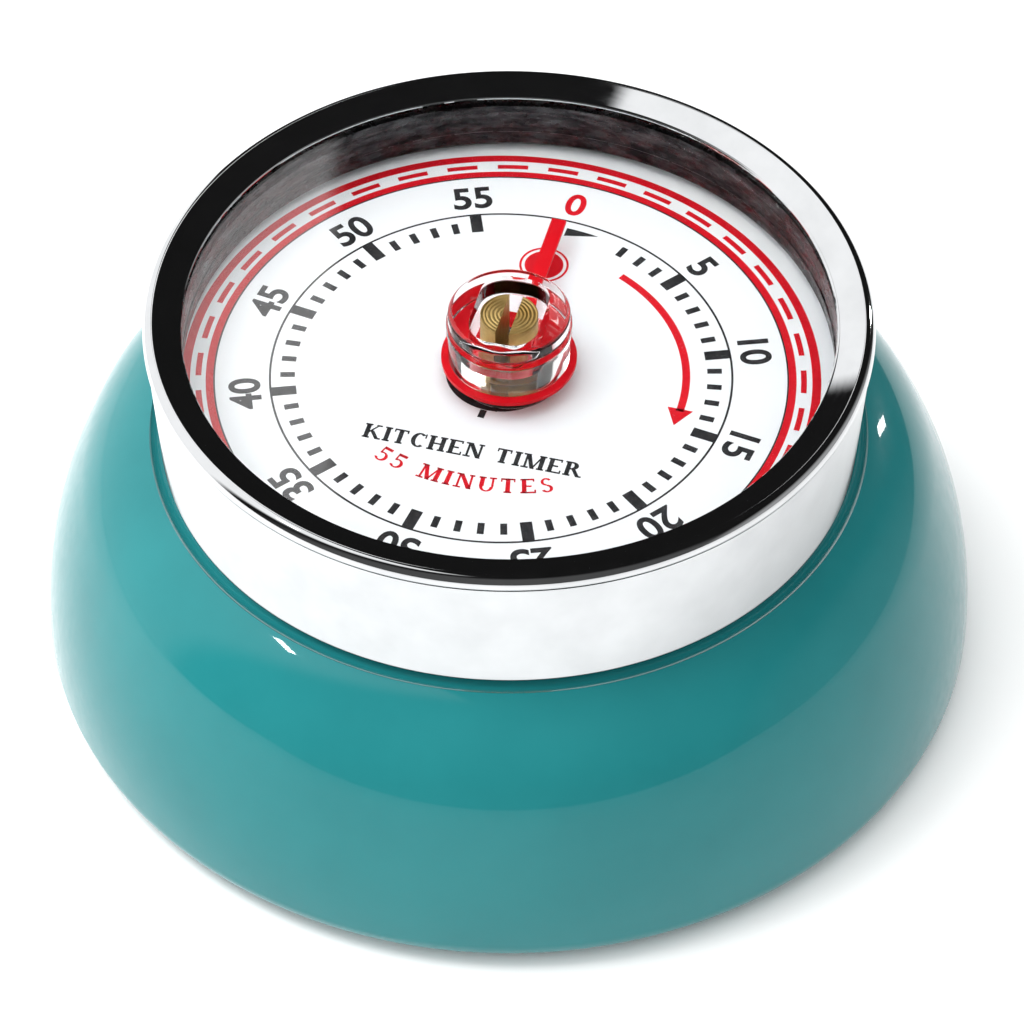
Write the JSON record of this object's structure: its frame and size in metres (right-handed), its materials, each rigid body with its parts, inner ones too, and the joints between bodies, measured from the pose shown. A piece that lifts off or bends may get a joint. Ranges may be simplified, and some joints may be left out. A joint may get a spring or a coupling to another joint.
{
  "type": "kitchen timer",
  "caption": "Round mechanical kitchen timer: domed teal metal body, turning chrome ring with clear lens, red pointer and printed minute dial.",
  "frame": {"origin": "centre of the underside, on the plane the timer rests on", "axes": "+Z along the turning axis, away from the rest face; +Y towards the 0 mark of the dial; +X towards the 15 minute mark"},
  "size_m": [0.07, 0.07, 0.032],
  "materials": {
    "enamel_shell": "high gloss teal enamel",
    "black_cover": "fine moulded grain",
    "magnet": "nickel plated",
    "bell_steel": "plated",
    "chrome_ring": "polished",
    "clear_lens": "clear acrylic",
    "retainer_steel": "scuffed plated steel",
    "red_pointer": "gloss red",
    "dial_enamel": "satin white, printed",
    "spring_steel": "blued",
    "brass": "machined",
    "arbor_brass": "turned",
    "plate_brass": "rolled",
    "steel": "turned"
  },
  "bodies": {
    "case": {"body_shell": "enamel_shell", "base_plate": "black_cover", "magnets": "magnet", "base_screws": "steel", "base_standoffs": "brass", "bell": "bell_steel", "bell_post": "brass", "bell_nut": "steel", "rear_plate": "plate_brass", "front_plate": "plate_brass", "front_bushing": "black_cover", "plate_pillars": "brass", "pillar_nuts": "steel", "case_screws": "steel", "dial_plate": "dial_enamel", "dial_feet": "steel", "hairspring_stud": "steel", "strike_lever_stud": "steel", "stop_pin": "steel", "mainspring_post": "steel", "strike_lever_spring": "spring_steel", "hairspring": "spring_steel", "mainspring": "spring_steel"},
    "turning_ring": {"bezel_ring": "chrome_ring", "lens": "clear_lens", "lens_retainer": "retainer_steel", "pointer": "red_pointer", "main_arbor": "arbor_brass", "release_cam": "brass", "ratchet_wheel": "steel"},
    "great_wheel": {"great_wheel": "brass", "click_spring": "spring_steel"},
    "click": {"click": "steel"},
    "second_wheel": {"second_arbor": "steel", "second_wheel": "brass", "strike_star": "brass"},
    "third_wheel": {"third_arbor": "steel", "third_wheel": "brass"},
    "escape_wheel": {"escape_arbor": "steel", "escape_wheel": "brass"},
    "pallet": {"pallet_arbor": "steel", "pallet_lever": "brass", "pallet_pins": "steel"},
    "balance": {"balance_staff": "steel", "balance_wheel": "brass", "impulse_roller": "brass"},
    "strike_lever": {"strike_lever": "steel"},
    "hammer": {"hammer_arbor": "steel", "hammer": "steel", "hammer_verge": "steel", "hammer_catch": "steel"}
  },
  "joints": [
    {"name": "setting_turn", "type": "hinge", "parent": "case", "child": "turning_ring", "pos_m": [0, 0, 0.0249], "axis": [0, 0, 1], "range_deg": [-330, 0], "deforming": ["mainspring"]},
    {"name": "great_wheel_turn", "type": "hinge", "parent": "case", "child": "great_wheel", "pos_m": [0, 0, 0.0128], "axis": [0, 0, 1], "range_deg": [-330, 0]},
    {"name": "click_lift", "type": "hinge", "parent": "great_wheel", "child": "click", "pos_m": [0.00613, 0.00514, 0.014], "axis": [0, 0, 1], "range_deg": [0, 8], "stiffness_Nm_per_rad": 0.0001, "springref_deg": -11.46, "deforming": ["click_spring"]},
    {"name": "second_wheel_turn", "type": "hinge", "parent": "case", "child": "second_wheel", "pos_m": [-0.01316, -0.00479, 0.0175], "axis": [0, 0, 1], "continuous": true},
    {"name": "third_wheel_turn", "type": "hinge", "parent": "case", "child": "third_wheel", "pos_m": [-0.00666, -0.01341, 0.0175], "axis": [0, 0, 1], "continuous": true},
    {"name": "escape_wheel_turn", "type": "hinge", "parent": "case", "child": "escape_wheel", "pos_m": [0.00079, -0.01598, 0.0175], "axis": [0, 0, 1], "continuous": true},
    {"name": "balance_swing", "type": "hinge", "parent": "case", "child": "balance", "pos_m": [0.01236, -0.01242, 0.0175], "axis": [0, 0, 1], "range_deg": [-30, 30], "stiffness_Nm_per_rad": 0.00001, "deforming": ["hairspring"]},
    {"name": "pallet_rock", "type": "hinge", "parent": "case", "child": "pallet", "pos_m": [0.00717, -0.01542, 0.0175], "axis": [0, 0, 1], "range_deg": [-6, 6]},
    {"name": "strike_lever_lift", "type": "hinge", "parent": "case", "child": "strike_lever", "pos_m": [-0.0012, 0.013, 0.0211], "axis": [0, 0, 1], "range_deg": [0, 6], "stiffness_Nm_per_rad": 0.0002, "springref_deg": -11.46, "deforming": ["strike_lever_spring"]},
    {"name": "hammer_swing", "type": "hinge", "parent": "case", "child": "hammer", "pos_m": [-0.01932, 0.00518, 0.014], "axis": [0, 0, 1], "range_deg": [-3.5, 3.5]}
  ],
  "couplings": [
    {"joint": "great_wheel_turn", "follows": "setting_turn", "ratio": 1},
    {"joint": "second_wheel_turn", "follows": "setting_turn", "ratio": -9},
    {"joint": "third_wheel_turn", "follows": "setting_turn", "ratio": 72},
    {"joint": "escape_wheel_turn", "follows": "setting_turn", "ratio": -576},
    {"joint": "pallet_rock", "follows": "balance_swing", "ratio": -0.2}
  ]
}
